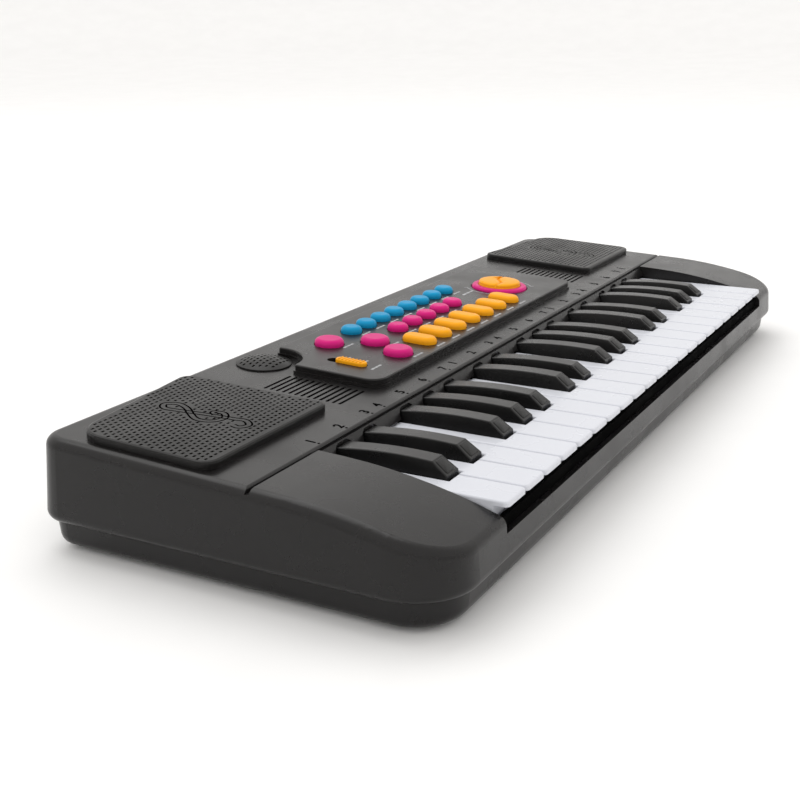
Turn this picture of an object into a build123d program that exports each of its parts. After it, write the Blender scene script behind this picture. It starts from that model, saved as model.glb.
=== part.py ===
from build123d import *
import os
from math import radians, sin, sqrt

# A toy electronic keyboard with 37 mini keys, a raised control panel and two speaker grilles.
# Millimetres, +X along the keys to the high notes, +Y from the player to the back, +Z up.
# Depths are written from a line 80.6 mm behind the front face, and every piece is moved at the end so
# that the origin is the middle of the footprint, on the surface that the rubber feet stand on.

# Case: plan size at the seam, then heights above the table
CASE_LENGTH = 449.6
FRONT_Y = -80.6
BACK_Y = 85.6
CASE_DEPTH = BACK_Y - FRONT_Y
MIDDLE_Y = (BACK_Y + FRONT_Y) / 2
SIDE_DRAFT = 4.3
FLOOR_HEIGHT = 1.5
SEAM_HEIGHT = 12.0
DECK_HEIGHT = 39.94
DECK_SLOPE = 0.046
CHEEK_BREAK_Y = -19.5
CHEEK_RADIUS = 215.0
FRONT_CORNER = 23.0
BACK_CORNER = 12.0
WALL = 2.4
TOP_EDGE_ROUND = 4.0
SKIRT_ROUND = 3.6
BOTTOM_DRAFT = 6.0
BOTTOM_EDGE_ROUND = 5.0
ABOVE = 70.0

# Key well and the groove behind it
WELL_HALF = 180.2
WELL_WALL = 2.4
WELL_BACK_Y = -10.4
WELL_REAR_WALL_BOTTOM = 34.3
RIB_BACK_Y = -4.2
BAND_FRONT_Y = -77.4
BAND_BACK_Y = -75.8
BAND_TOP = 27.2
RAIL_TOP = 22.6
GROOVE_FRONT_Y = -8.1
GROOVE_BACK_Y = -6.5
GROOVE_DEPTH = 1.8
LIP_ROUND = 1.2
ARCH_WIDTH = 12.4
ARCH_TOP = 38.2
ARCH_ROUND = 4.0
ARCH_BACK_Y = -8.3

# Keys: three octaves from C to C, all hinged on one bar at the same lever length
WHITE_COUNT = 22
WHITE_PITCH = 16.3
WHITE_STEPS = (0, 2, 4, 5, 7, 9, 11)
BLACK_STEPS = (1, 3, 6, 8, 10)
OCTAVES = 3
KEY_GAP = 0.6
KEY_TOP = 33.0
KEY_FRONT_Y = -79.5
KEY_BOTTOM = 22.0
KEY_WALL = 1.4
LIP_THICKNESS = 2.0
LIP_OVERHANG = 5.5
KEY_CORNER = 2.0
KEY_EDGE = 0.9
KEYBED_LEFT = -WHITE_COUNT * WHITE_PITCH / 2
SLOT_PITCH = 7 * WHITE_PITCH / 12
SLOT_COUNT = 12 * OCTAVES + 1
HEAD_BACK_Y = -53.7
NECK_BACK_Y = -9.0
TAIL_WIDTH = 7.2
TAIL_BOTTOM = 27.0
TAIL_TOP = 32.5
PIVOT_Y = 12.0
PIVOT_Z = 25.0
PIVOT_RADIUS = 1.5
PIVOT_CLEARANCE = 0.05
HUB_RADIUS = 3.4
SNAP_WIDTH = 2.4
PLUNGER_Y = -26.0
PLUNGER_SIZE = 3.0
PLUNGER_BOTTOM = 21.1

# Black keys
BLACK_BASE_WIDTH = 9.6
BLACK_TOP_WIDTH = 7.6
BLACK_TIP_Y = -52.7
BLACK_NOSE_Y = -46.6
BLACK_BACK_Y = -8.6
BLACK_NOSE_TOP = 38.3
BLACK_CROWN_TOP = 38.7
BLACK_BACK_TOP = 37.0
BLACK_TIP_TOP = 33.9
BLACK_SIDE_GAP = 0.5
BLACK_EDGE = 0.5

# Key frame under the keys, with the contact board and its rubber strip
FRAME_HALF = 179.9
FRAME_FRONT_Y = -71.8
FRAME_BACK_Y = 18.0
FRAME_TOP = 13.2
FRAME_PLATE = 1.6
COMB_RIB = 1.0
COMB_HEIGHT = 28.4
GUIDE_Y = -63.5
GUIDE_TOP = 26.0
BOARD_THICKNESS = 1.6
RUBBER_BASE = 1.0
DOME_TOP = 19.3

# Control panel and what sits in it, on the sloping deck
PANEL_LEFT = -111.0
PANEL_RIGHT = 105.5
PANEL_FRONT = 7.0
PANEL_BACK = 67.0
PANEL_RISE = 3.7
PANEL_BASE = 1.2
PANEL_STEP = 0.8
NOTCH_CENTRE = (-109.0, 63.0)
NOTCH_RADIUS = 15.6
NOTCH_TIP_ROUND = 1.5
NOTCH_SEAT = 2.0
WINDOW = (-104.0, 9.8, 100.0, 63.0)
BUTTON_GAP = 0.35
BUTTON_PROUD = 2.9
BUTTON_CROWN = 2.2
FLANGE_TOP = -2.0
FLANGE_THICKNESS = 1.2
BLUE_XY = [(-54.3 + 13.44 * i, 53.2) for i in range(8)]
PINK_XY = [(-38.1 + 14.2 * i, 37.9) for i in range(5)]
YELLOW_XY = [(-49.9 + 15.4 * i, 20.4) for i in range(7)]
LARGE_XY = [(-77.0, 51.1), (-63.0, 35.9), (-71.8, 19.4)]
SMALL_RADIUS = 4.9
LARGE_RADIUS = 6.5
OVAL_LENGTH = 16.2
OVAL_WIDTH = 9.2
DIAL_XY = (67.0, 33.6)
DIAL_RADIUS = 14.6
DIAL_HOLE_GAP = 0.5
ROCKER_RADIUS = 11.1
ROCKER_GAP = 0.3
DIAL_SEAT = 1.4
ROCKER_BOTTOM = 2.2
STEM_RADIUS = 3.0
TRUNNION_HEIGHT = 3.0
TRUNNION_RADIUS = 0.7
TRUNNION_REACH = 1.4
TRUNNION_GAP = 0.12
RING_TOP = 5.2
ROCKER_TOP = 6.4
SLIDER_XY = (-96.0, 28.6)
SLIDER_SIZE = (4.6, 14.5)
SLIDER_TRAVEL = 3.8
SLIDER_GAP = 0.3

# Speaker grilles, loudspeakers, louvre slots and the small perforated dome
PAD_CORNERS = [(142.0, 11.0), (217.3, 11.0), (217.3, 69.0), (144.0, 78.0)]
PAD_ROUNDS = [4.0, 6.0, 12.0, 5.0]
PAD_RISE = 3.0
PAD_EDGE = 1.0
SPEAKER_XY = (188.0, 42.0)
SPEAKER_RADIUS = 24.0
SLOT_ROWS = 13
SLOT_STEP = 2.9
SLOT_FRONT_Y = 11.2
SLOT_CENTRE_X = 125.0
SLOT_LENGTH = 19.3
SLOT_WIDTH = 1.3
DOME_XY = (-107.0, 65.2)
DOME_RADIUS = 11.8
DOME_RISE = 2.4

# Fasteners, feet, battery bay
BOSS_POINTS = [(201.0, -66.0), (201.0, 4.0), (208.0, 70.0), (80.0, 71.4)]
BOSS_RADIUS = 3.4
BOSS_SPLIT = 14.1
SCREW_RADIUS = 1.4
SCREW_HEAD_RADIUS = 2.8
SCREW_HEAD_Z = 5.5
FOOT_POINTS = [(185.0, -60.0), (185.0, 60.0)]
FOOT_RADIUS = 5.0
BAY_HALF = 55.0
BAY_FRONT_Y = 36.5
BAY_BACK_Y = 67.5
BAY_TOP = 19.4
BAY_WALL = 1.6
DOOR_MARGIN = 3.0
DOOR_THICKNESS = 1.6
DOOR_GAP = 0.3


# Shared shapes

def deck_height(y):
    """Height of the flat sloping deck at depth y."""
    return DECK_HEIGHT + y * DECK_SLOPE


# The deck's own plane: x as the case's, z square to the sloping surface.
DECK = Plane(origin=(0, 0, deck_height(0)), x_dir=(1, 0, 0), z_dir=(0, -DECK_SLOPE, 1))


def block(x0, x1, y0, y1, z0, z1):
    """A box between two corners."""
    return Pos((x0 + x1) / 2, (y0 + y1) / 2, (z0 + z1) / 2) * Box(x1 - x0, y1 - y0, z1 - z0)


def rectangle(x0, x1, y0, y1):
    """A flat rectangle between two corners."""
    return Pos((x0 + x1) / 2, (y0 + y1) / 2) * Rectangle(x1 - x0, y1 - y0)


def post(x, y, z0, z1, radius):
    """An upright round post or hole."""
    return Pos(x, y, (z0 + z1) / 2) * Cylinder(radius, z1 - z0)


def side_prism(lines, half_width):
    """A closed outline in depth and height, drawn out along the keyboard's length."""
    return extrude(Plane.YZ * make_face(Curve() + lines), half_width, both=True)


def plan(inset=0.0):
    """The case's plan, drawn in by inset; the front corners are the rounder ones."""
    face = Pos(0, MIDDLE_Y) * Rectangle(CASE_LENGTH - 2 * inset, CASE_DEPTH - 2 * inset)
    face = fillet(face.vertices().group_by(Axis.Y)[0], FRONT_CORNER - inset)
    return fillet(face.vertices().group_by(Axis.Y)[-1], BACK_CORNER - inset)


def under_top(drop=0.0):
    """All that lies below the case's top surface, lowered by drop."""
    far_y = FRONT_Y - 5
    fall = CHEEK_BREAK_Y - far_y
    dip = CHEEK_RADIUS - sqrt(CHEEK_RADIUS**2 - fall**2)
    start = (CHEEK_BREAK_Y, deck_height(CHEEK_BREAK_Y) - drop)
    end = (far_y, deck_height(far_y) - dip - drop)
    back = (BACK_Y + 5, deck_height(BACK_Y + 5) - drop)
    cheek = TangentArc(start, end, tangent=(-1, -DECK_SLOPE))
    rest = Polyline(end, (far_y, -5), (BACK_Y + 5, -5), back, start)
    return side_prism([cheek, rest], CASE_LENGTH / 2 + 5)


def on_both_sides(points):
    """Each point and its mirror image about the middle."""
    return [(side * x, y) for x, y in points for side in (-1, 1)]


def slot_x(semitone):
    """Middle of a key's tail: the tails share the keyboard's length evenly."""
    return KEYBED_LEFT + SLOT_PITCH * (semitone + 0.5)


def white_semitone(index):
    return 12 * (index // 7) + WHITE_STEPS[index % 7]


def black_semitones():
    return [12 * octave + step for octave in range(OCTAVES) for step in BLACK_STEPS]


# Case

def speaker_openings():
    """Round holes under the grilles and the rows of louvre slots beside them."""
    cuts = [DECK * post(x, y, -10, 5, SPEAKER_RADIUS - 4) for x, y in on_both_sides([SPEAKER_XY])]
    louvre = extrude(SlotOverall(SLOT_LENGTH, SLOT_WIDTH), 15, both=True)
    for row in range(SLOT_ROWS):
        y = SLOT_FRONT_Y + row * SLOT_STEP
        cuts += [DECK * Pos(side * SLOT_CENTRE_X, y, 0) * louvre for side in (-1, 1)]
    return cuts


def groove():
    """The groove across the case in front of the deck, with the deck's edge rounded over."""
    floor = deck_height(GROOVE_FRONT_Y) - GROOVE_DEPTH
    crest = deck_height(GROOVE_BACK_Y)
    centre = (GROOVE_BACK_Y + LIP_ROUND, crest - LIP_ROUND)
    reach = LIP_ROUND * sqrt(0.5)
    edge = ThreePointArc(
        (GROOVE_BACK_Y, crest - LIP_ROUND),
        (centre[0] - reach, centre[1] + reach),
        (centre[0], crest + LIP_ROUND * DECK_SLOPE),
    )
    rest = Polyline(
        edge @ 1, (centre[0], ABOVE), (GROOVE_FRONT_Y, ABOVE), (GROOVE_FRONT_Y, floor),
        (GROOVE_BACK_Y, floor), edge @ 0,
    )
    return side_prism([edge, rest], CASE_LENGTH)


def well_cuts():
    """The key well, its sloping back wall, the arches for the black keys and the front rail."""
    low = SEAM_HEIGHT + SKIRT_ROUND
    half = WELL_HALF
    cuts = [
        block(-half, half, BAND_BACK_Y, WELL_BACK_Y, low, ABOVE),
        block(-half, half, WELL_BACK_Y - 1, RIB_BACK_Y + 1, low, WELL_REAR_WALL_BOTTOM),
        block(-half, half, FRONT_Y - 5, BAND_FRONT_Y, RAIL_TOP, ABOVE),
        block(-half, half, FRONT_Y - 5, BAND_BACK_Y + 1, BAND_TOP, ABOVE),
    ]
    slope_top = deck_height(GROOVE_FRONT_Y) - GROOVE_DEPTH / 2
    wall_face = Polyline(
        (WELL_BACK_Y, WELL_REAR_WALL_BOTTOM), (GROOVE_FRONT_Y, slope_top),
        (GROOVE_FRONT_Y, ABOVE), (WELL_BACK_Y - 1, ABOVE),
        (WELL_BACK_Y - 1, WELL_REAR_WALL_BOTTOM), (WELL_BACK_Y, WELL_REAR_WALL_BOTTOM),
    )
    cuts.append(side_prism([wall_face], half))
    arch = Pos(0, ARCH_TOP - 5) * Rectangle(ARCH_WIDTH, 10)
    arch = fillet(arch.vertices().group_by(Axis.Y)[-1], ARCH_ROUND)
    tunnel = extrude(Plane.XZ * arch, 4)
    cuts += [Pos(slot_x(s), ARCH_BACK_Y, 0) * tunnel for s in black_semitones()]
    return cuts


def perforated_dome():
    """The low round dome at the left of the control panel, moulded with the case."""
    radius = (DOME_RADIUS**2 + DOME_RISE**2) / (2 * DOME_RISE)
    ball = Pos(*DOME_XY, DOME_RISE - radius) * Sphere(radius)
    return DECK * (ball & post(*DOME_XY, -1, 5, DOME_RADIUS))


def drafted_walls(bottom, inset=0.0):
    """A block on the case's plan that narrows towards its top by the walls' draft."""
    return extrude(Pos(0, 0, bottom) * plan(inset), ABOVE - bottom, taper=SIDE_DRAFT)


def top_case():
    outer = drafted_walls(SEAM_HEIGHT) & under_top()
    upward = outer.faces().filter_by(lambda face: face.normal_at().Z > 0.5)
    rim = [edge for edge in upward.edges() if abs(edge.center().X) > 1 or edge.length < 400
           or abs(edge.center().Y - CHEEK_BREAK_Y) > 1]
    outer = fillet(ShapeList(rim), TOP_EDGE_ROUND)
    outer = fillet(outer.edges().group_by(Axis.Z)[0], SKIRT_ROUND)

    skirt_top = SEAM_HEIGHT + SKIRT_ROUND
    hollow = drafted_walls(skirt_top, WALL) & under_top(WALL)
    surround = WELL_HALF + WELL_WALL
    hollow -= block(-surround, surround, FRONT_Y, RIB_BACK_Y, 0, ABOVE)
    hollow -= block(-CASE_LENGTH, CASE_LENGTH, WELL_BACK_Y, RIB_BACK_Y, WELL_REAR_WALL_BOTTOM,
                    ABOVE)
    mouth = extrude(Pos(0, 0, SEAM_HEIGHT) * plan(SKIRT_ROUND + WALL), SKIRT_ROUND)
    case = outer - hollow - mouth - well_cuts() - groove() - speaker_openings()
    window = block(WINDOW[0], WINDOW[2], WINDOW[1], WINDOW[3], -10, 5)
    case -= DECK * (window - post(*NOTCH_CENTRE, -11, 6, NOTCH_RADIUS + NOTCH_SEAT))

    bosses = [post(x, y, BOSS_SPLIT, ABOVE, BOSS_RADIUS) for x, y in on_both_sides(BOSS_POINTS)]
    case += [boss & under_top(WALL / 2) for boss in bosses]
    case -= [post(x, y, 0, 30, SCREW_RADIUS + 0.1) for x, y in on_both_sides(BOSS_POINTS)]
    case += [DECK * post(x, y, -5.4, -1, 1.8) for x, y in board_corners()]
    return case + perforated_dome()


def bottom_case():
    height = SEAM_HEIGHT - FLOOR_HEIGHT
    rim = Pos(0, 0, SEAM_HEIGHT) * plan(SKIRT_ROUND)
    tray = extrude(rim, height, dir=(0, 0, -1), taper=BOTTOM_DRAFT)
    tray = fillet(tray.edges().group_by(Axis.Z)[0], BOTTOM_EDGE_ROUND)
    inside = Pos(0, 0, SEAM_HEIGHT) * plan(SKIRT_ROUND + WALL)
    tray -= extrude(inside, height - WALL, dir=(0, 0, -1), taper=BOTTOM_DRAFT)

    locating = SKIRT_ROUND + WALL + 0.3
    lip = plan(locating) - plan(locating + 1.2)
    ledge = plan(SKIRT_ROUND + 1) - plan(locating + 1.2)
    tray += extrude(Pos(0, 0, SEAM_HEIGHT) * lip, 2)
    tray += extrude(Pos(0, 0, SEAM_HEIGHT) * ledge, -1.5)

    floor_top = FLOOR_HEIGHT + WALL
    bosses = on_both_sides(BOSS_POINTS)
    tray += [post(x, y, floor_top - 1, BOSS_SPLIT - 0.1, BOSS_RADIUS + 0.4) for x, y in bosses]
    tray += block(-BAY_HALF - BAY_WALL, BAY_HALF + BAY_WALL, BAY_FRONT_Y - BAY_WALL,
                  BAY_BACK_Y + BAY_WALL, floor_top - 1, BAY_TOP + BAY_WALL)
    tray -= block(-BAY_HALF, BAY_HALF, BAY_FRONT_Y, BAY_BACK_Y, 0, BAY_TOP)
    tray -= block(*door_span(DOOR_GAP), 0, FLOOR_HEIGHT + DOOR_THICKNESS + 0.1)
    tray -= [post(x, y, 0, SCREW_HEAD_Z, SCREW_HEAD_RADIUS + 0.3) for x, y in bosses]
    tray -= [post(x, y, 0, 20, SCREW_RADIUS + 0.3) for x, y in bosses]
    return tray - [post(x, y, 0, 3, 1.7) for x, y in feet_points()]


def feet_points():
    return on_both_sides(FOOT_POINTS)


def rubber_feet():
    foot = post(0, 0, 0, FLOOR_HEIGHT, FOOT_RADIUS)
    foot = fillet(foot.edges().group_by(Axis.Z)[0], 0.6)
    foot += post(0, 0, FLOOR_HEIGHT, 2.9, 1.6)
    return Compound([Pos(x, y, 0) * foot for x, y in feet_points()])


def case_screws():
    """Self-tapping screws from below, each with a cross slot in its round head."""
    screw = post(0, 0, SCREW_HEAD_Z - 2, SCREW_HEAD_Z, SCREW_HEAD_RADIUS)
    screw += post(0, 0, SCREW_HEAD_Z, 24, SCREW_RADIUS)
    screw -= block(-1.8, 1.8, -0.4, 0.4, 0, SCREW_HEAD_Z - 1)
    screw -= block(-0.4, 0.4, -1.8, 1.8, 0, SCREW_HEAD_Z - 1)
    return Compound([Pos(x, y, 0) * screw for x, y in on_both_sides(BOSS_POINTS)])


# Battery bay

def door_span(gap=0.0):
    """The battery door's extent in x and y, grown by gap."""
    reach = DOOR_MARGIN + gap
    return (-BAY_HALF - reach, BAY_HALF + reach, BAY_FRONT_Y - reach, BAY_BACK_Y + reach)


def battery_door():
    top = FLOOR_HEIGHT + DOOR_THICKNESS
    door = block(*door_span(), FLOOR_HEIGHT, top)
    door = fillet(door.edges().filter_by(Axis.Z), 1.5)
    for i in range(5):
        door -= block(-9, 9, 40 + 2 * i, 40.9 + 2 * i, 0, FLOOR_HEIGHT + 0.5)
    return door


def battery_contacts():
    """Sprung and plain plates at the two ends of the bay, for two rows of two cells."""
    row_y = [BAY_FRONT_Y + 7.6, BAY_BACK_Y - 7.6]
    pieces = []
    for side in (-1, 1):
        for row, y in enumerate(row_y):
            plate = Pos(side * (BAY_HALF - 0.3), y, 11.5) * Box(0.4, 11, 11)
            sprung = (side < 0) == (row == 0)
            cone = Cone(3.6, 2.2, 6) if sprung else Cylinder(2.6, 1.2)
            reach = 3.5 if sprung else 1.1
            pieces.append(plate + Pos(side * (BAY_HALF - reach), y, 11.5) * Rot(0, -90 * side, 0) * cone)
    return Compound(pieces)


# Keys

def tail(semitone):
    """The hidden rear of a key: a bar that ends in a clip snapped over the pivot bar."""
    half = TAIL_WIDTH / 2
    x = slot_x(semitone)
    hub = Pos(x, PIVOT_Y, PIVOT_Z) * Rot(0, 90, 0) * Cylinder(HUB_RADIUS, TAIL_WIDTH)
    bar = block(x - half, x + half, NECK_BACK_Y - 1, PIVOT_Y + HUB_RADIUS, TAIL_BOTTOM, TAIL_TOP)
    web = block(x - half, x + half, PIVOT_Y - HUB_RADIUS, PIVOT_Y + HUB_RADIUS, PIVOT_Z, TAIL_TOP)
    bore_radius = PIVOT_RADIUS + PIVOT_CLEARANCE
    bore = Pos(x, PIVOT_Y, PIVOT_Z) * Rot(0, 90, 0) * Cylinder(bore_radius, TAIL_WIDTH + 2)
    snap = block(x - half - 1, x + half + 1, PIVOT_Y - SNAP_WIDTH / 2, PIVOT_Y + SNAP_WIDTH / 2,
                 0, PIVOT_Z)
    return hub + bar + web - bore - snap


def plunger(semitone, top):
    """The peg under a key that presses its rubber dome."""
    x = slot_x(semitone)
    half = PLUNGER_SIZE / 2
    return block(x - half, x + half, PLUNGER_Y - half, PLUNGER_Y + half, PLUNGER_BOTTOM, top)


def white_key(index):
    """A hollow white key: a wide head, a neck cut back for its black neighbours, and a tail."""
    semitone = white_semitone(index)
    left = KEYBED_LEFT + index * WHITE_PITCH + KEY_GAP / 2
    right = left + WHITE_PITCH - KEY_GAP
    face = rectangle(left, right, KEY_FRONT_Y, NECK_BACK_Y)
    notch = BLACK_BASE_WIDTH / 2 + BLACK_SIDE_GAP
    if semitone - 1 in black_semitones():
        face -= rectangle(left - 1, slot_x(semitone - 1) + notch, HEAD_BACK_Y, 0)
    if semitone + 1 in black_semitones():
        face -= rectangle(slot_x(semitone + 1) - notch, right + 1, HEAD_BACK_Y, 0)
    inner = offset(face, -KEY_WALL, kind=Kind.INTERSECTION)
    face = fillet(face.vertices().group_by(Axis.Y)[0], KEY_CORNER)
    body = extrude(Pos(0, 0, KEY_BOTTOM) * face, KEY_TOP - KEY_BOTTOM)
    body = fillet(body.edges().group_by(Axis.Z)[-1], KEY_EDGE)
    lip_bottom = KEY_TOP - LIP_THICKNESS
    skirt_front = KEY_FRONT_Y + LIP_OVERHANG
    body -= block(left - 1, right + 1, KEY_FRONT_Y - 1, skirt_front, 0, lip_bottom)
    cavity = extrude(Pos(0, 0, KEY_BOTTOM) * inner, lip_bottom - KEY_BOTTOM)
    cavity &= block(left, right, skirt_front + KEY_WALL, BACK_Y, 0, lip_bottom)
    return body - cavity + plunger(semitone, lip_bottom) + tail(semitone)


def black_key(semitone):
    """A hollow black key with leaning sides, a gently crowned top and a sloping nose."""
    x = slot_x(semitone)
    crown = ThreePointArc(
        (BLACK_NOSE_Y, BLACK_NOSE_TOP),
        ((BLACK_NOSE_Y + BLACK_BACK_Y) / 2 - 6, BLACK_CROWN_TOP),
        (BLACK_BACK_Y, BLACK_BACK_TOP),
    )
    rest = Polyline(
        crown @ 1, (BLACK_BACK_Y, KEY_BOTTOM + 2), (BLACK_TIP_Y, KEY_BOTTOM + 2),
        (BLACK_TIP_Y, BLACK_TIP_TOP), crown @ 0,
    )
    side = Pos(x, 0, 0) * side_prism([crown, rest], BLACK_BASE_WIDTH)
    base, top = BLACK_BASE_WIDTH / 2, BLACK_TOP_WIDTH / 2
    section = Polyline(
        (x - base, 0), (x + base, 0), (x + base, KEY_TOP), (x + top, BLACK_CROWN_TOP),
        (x - top, BLACK_CROWN_TOP), (x - base, KEY_TOP), (x - base, 0),
    )
    body = side & extrude(Plane.XZ * make_face(section), 100, both=True)
    crest = [edge for edge in body.edges() if edge.center().Z > BLACK_TIP_TOP - 0.5]
    body = fillet(ShapeList(crest), BLACK_EDGE)
    body -= block(x - base + KEY_WALL, x + base - KEY_WALL, BLACK_TIP_Y + 4,
                  BLACK_BACK_Y - KEY_WALL, 0, KEY_TOP - 1)
    return body + plunger(semitone, KEY_TOP) + tail(semitone)


def key_frame():
    """The chassis under the keys: plate, long ribs, front guide pegs, comb and pivot bar."""
    frame = block(-FRAME_HALF, FRAME_HALF, FRAME_FRONT_Y, FRAME_BACK_Y, FRAME_TOP - FRAME_PLATE,
                  FRAME_TOP)
    floor_top = FLOOR_HEIGHT + WALL
    for y in (FRAME_FRONT_Y + 1, PLUNGER_Y, PIVOT_Y):
        frame += block(-FRAME_HALF, FRAME_HALF, y - 1, y + 1, floor_top, FRAME_TOP)
    for index in range(WHITE_COUNT):
        x = KEYBED_LEFT + (index + 0.5) * WHITE_PITCH
        frame += block(x - 1.5, x + 1.5, GUIDE_Y - 2.5, GUIDE_Y + 2.5, FRAME_TOP, GUIDE_TOP)
    for slot in range(SLOT_COUNT + 1):
        x = KEYBED_LEFT + slot * SLOT_PITCH
        frame += block(x - COMB_RIB / 2, x + COMB_RIB / 2, PIVOT_Y - 5, PIVOT_Y + 5, FRAME_TOP,
                       COMB_HEIGHT)
    bar = Pos(0, PIVOT_Y, PIVOT_Z) * Rot(0, 90, 0) * Cylinder(PIVOT_RADIUS, 2 * FRAME_HALF)
    return frame + bar


def contact_board():
    """The long circuit board with printed contacts under the keys."""
    return block(-172, 176, PLUNGER_Y - 8, PLUNGER_Y + 8, FRAME_TOP, FRAME_TOP + BOARD_THICKNESS)


def contact_rubber():
    """One moulded rubber strip with a dome under every key."""
    low = FRAME_TOP + BOARD_THICKNESS
    base_top = low + RUBBER_BASE
    strip = block(-179, 176, PLUNGER_Y - 5, PLUNGER_Y + 5, low, base_top)
    dome_height = DOME_TOP - base_top
    for semitone in range(SLOT_COUNT):
        middle = (slot_x(semitone), PLUNGER_Y, base_top + dome_height / 2)
        strip += Pos(*middle) * Cone(3.4, 2.0, dome_height)
    return strip


# Control panel

def panel_outline():
    """The panel's plan: a long plate with a round bite taken out beside the dome."""
    width = PANEL_RIGHT - PANEL_LEFT
    depth = PANEL_BACK - PANEL_FRONT
    middle = ((PANEL_LEFT + PANEL_RIGHT) / 2, (PANEL_FRONT + PANEL_BACK) / 2)
    face = Pos(*middle) * Rectangle(width, depth)
    face = fillet(face.vertices().group_by(Axis.Y)[0], 7)
    face = fillet(face.vertices().sort_by(Axis.X)[-1], 4)
    face -= Pos(*NOTCH_CENTRE) * Circle(NOTCH_RADIUS)
    tips = [(PANEL_LEFT, NOTCH_CENTRE[1] - NOTCH_RADIUS, 0), (NOTCH_CENTRE[0] + NOTCH_RADIUS, PANEL_BACK, 0)]
    for tip in tips:
        face = fillet(face.vertices().sort_by_distance(tip)[0], NOTCH_TIP_ROUND)
    return face


def slider_cutout():
    """The slider's slot: as long as its knob and its travel together."""
    width = SLIDER_SIZE[0] + 2 * SLIDER_GAP
    length = SLIDER_SIZE[1] + SLIDER_TRAVEL + 2 * SLIDER_GAP
    place = Pos(SLIDER_XY[0], SLIDER_XY[1] + SLIDER_TRAVEL / 2)
    return place * RectangleRounded(width, length, width / 2 - 0.1)


def control_panel():
    outline = panel_outline()
    plate = extrude(outline, PANEL_RISE)
    plate = fillet(plate.edges().group_by(Axis.Z)[-1], 0.7)
    step = extrude(offset(outline, PANEL_STEP), PANEL_BASE)
    holes = [Pos(x, y) * Circle(SMALL_RADIUS + BUTTON_GAP) for x, y in BLUE_XY + PINK_XY]
    holes += [Pos(x, y) * Circle(LARGE_RADIUS + BUTTON_GAP) for x, y in LARGE_XY]
    holes += [Pos(x, y) * oval(BUTTON_GAP) for x, y in YELLOW_XY]
    holes += [Pos(*DIAL_XY) * Circle(STEM_RADIUS + 1.2), slider_cutout()]
    through = [Pos(0, 0, -1) * extrude(hole, PANEL_RISE + 2) for hole in holes]
    recess = post(*DIAL_XY, DIAL_SEAT, PANEL_RISE + 1, DIAL_RADIUS + DIAL_HOLE_GAP)
    return DECK * (plate + step - through - recess)


def oval(gap=0.0):
    """The outline of an oval button, or of its hole when grown by gap."""
    return SlotOverall(OVAL_LENGTH + 2 * gap, OVAL_WIDTH + 2 * gap, rotation=90)


def cap(outline):
    """A button cap of a given outline, crowned where it stands out of the panel."""
    top = PANEL_RISE + BUTTON_PROUD
    shape = extrude(Pos(0, 0, FLANGE_TOP) * outline, top - FLANGE_TOP)
    return fillet(shape.edges().group_by(Axis.Z)[-1], BUTTON_CROWN)


def flange(outline):
    """The wider foot of a cap, under the panel, that keeps it in its hole."""
    return extrude(Pos(0, 0, FLANGE_TOP - FLANGE_THICKNESS) * offset(outline, 1), FLANGE_THICKNESS)


def button_comb(points, outline):
    """A row of caps moulded on one strip."""
    first, last = points[0], points[-1]
    comb = block(first[0], last[0], first[1] - 1.5, first[1] + 1.5, FLANGE_TOP - FLANGE_THICKNESS,
                 FLANGE_TOP)
    for x, y in points:
        comb += Pos(x, y, 0) * (cap(outline) + flange(outline))
    return DECK * comb


def large_button(x, y):
    outline = Circle(LARGE_RADIUS)
    return DECK * Pos(x, y, 0) * (cap(outline) + flange(outline))


def dial_ring():
    """The round frame of the dial, seated in a shallow recess of the panel."""
    ring = Circle(DIAL_RADIUS) - Circle(ROCKER_RADIUS + ROCKER_GAP)
    solid = extrude(Pos(0, 0, DIAL_SEAT) * ring, RING_TOP - DIAL_SEAT)
    solid = fillet(solid.edges().group_by(Axis.Z)[-1].sort_by(SortBy.RADIUS)[-1], 1.6)
    return DECK * Pos(*DIAL_XY, 0) * (solid - trunnion(TRUNNION_GAP))


def trunnion(gap=0.0):
    """The cross pin that the rocker tips on, or its bearing when grown by gap."""
    length = 2 * (ROCKER_RADIUS + TRUNNION_REACH + gap)
    return Pos(0, 0, TRUNNION_HEIGHT) * Rot(0, 90, 0) * Cylinder(TRUNNION_RADIUS + gap, length)


def dial_rocker():
    """The dial's disc, which tips on two stub pins held in its ring, and its stem."""
    disc = post(0, 0, ROCKER_BOTTOM, ROCKER_TOP, ROCKER_RADIUS)
    disc = fillet(disc.edges().group_by(Axis.Z)[-1], 1.2)
    stem = post(0, 0, FLANGE_TOP - FLANGE_THICKNESS, ROCKER_BOTTOM, STEM_RADIUS)
    return DECK * Pos(*DIAL_XY, 0) * (disc + stem + trunnion())


def power_slider():
    """A ribbed sliding knob with a wider foot under the panel."""
    width, length = SLIDER_SIZE
    knob = extrude(Pos(0, 0, -0.6) * RectangleRounded(width, length, width / 2 - 0.1), 5.8)
    knob = fillet(knob.edges().group_by(Axis.Z)[-1], 0.8)
    foot = block(-4, 4, -6.5, 6.5, -1.6, -0.6)
    return DECK * Pos(*SLIDER_XY, 0) * (knob + foot)


def board_corners():
    return [(x, y) for x in (-106.5, 102.5) for y in (10.5, 64.5)]


def main_board():
    """The circuit board under the buttons, with two sealed chips below it."""
    board = block(-108.5, 104.5, 8.5, 66.5, -7.0, -5.4)
    for x in (-40.0, 30.0):
        board += block(x - 8, x + 8, 34, 46, -8.4, -7.0)
    return DECK * board


# Speakers

def pad_outline(side):
    """A grille's plan: its back edge runs in towards the case's rear corner."""
    corners = [(side * x, y) for x, y in PAD_CORNERS]
    face = make_face(Polyline(*corners, corners[0]))
    for (x, y), radius in zip(corners, PAD_ROUNDS):
        vertex = face.vertices().sort_by_distance((x, y, 0))[0]
        face = fillet(vertex, radius)
    return face


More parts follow.
